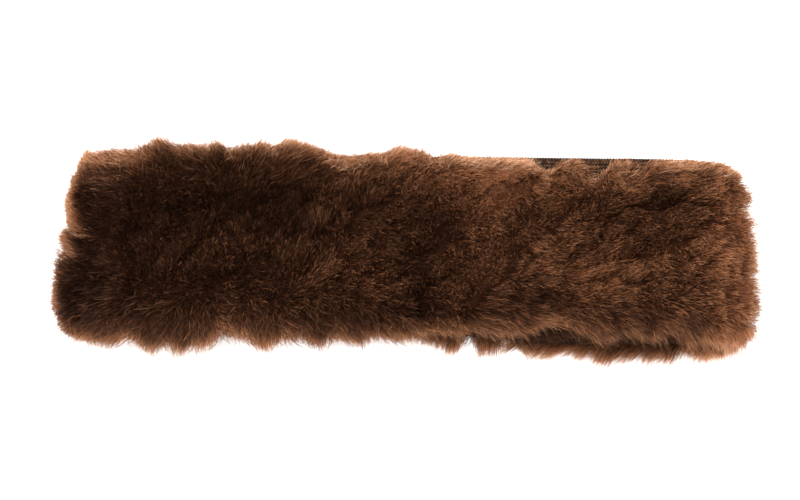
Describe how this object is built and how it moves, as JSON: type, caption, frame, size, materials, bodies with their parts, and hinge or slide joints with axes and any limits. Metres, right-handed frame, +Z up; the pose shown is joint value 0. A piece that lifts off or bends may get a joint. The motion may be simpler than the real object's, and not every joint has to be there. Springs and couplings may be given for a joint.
{
  "type": "winter headband",
  "caption": "Wide winter headband of deep brown fur sewn round a loop of stretchy knitted elastic, lying flat.",
  "frame": {"origin": "middle of the whole headband's outline, on the surface that it lies on", "axes": "+X along the flattened loop, +Y across the band, +Z up from the back layer to the front layer"},
  "size_m": [0.2646, 0.084, 0.0401],
  "materials": {
    "elastic": "matt dark brown knitted elastic with fine ribs and a toothed edge",
    "fur": "deep soft sheared fur, chocolate to chestnut brown, with paler tips"
  },
  "bodies": {
    "root": {"elastic_band": "elastic", "fur_band": "fur"}
  },
  "joints": []
}
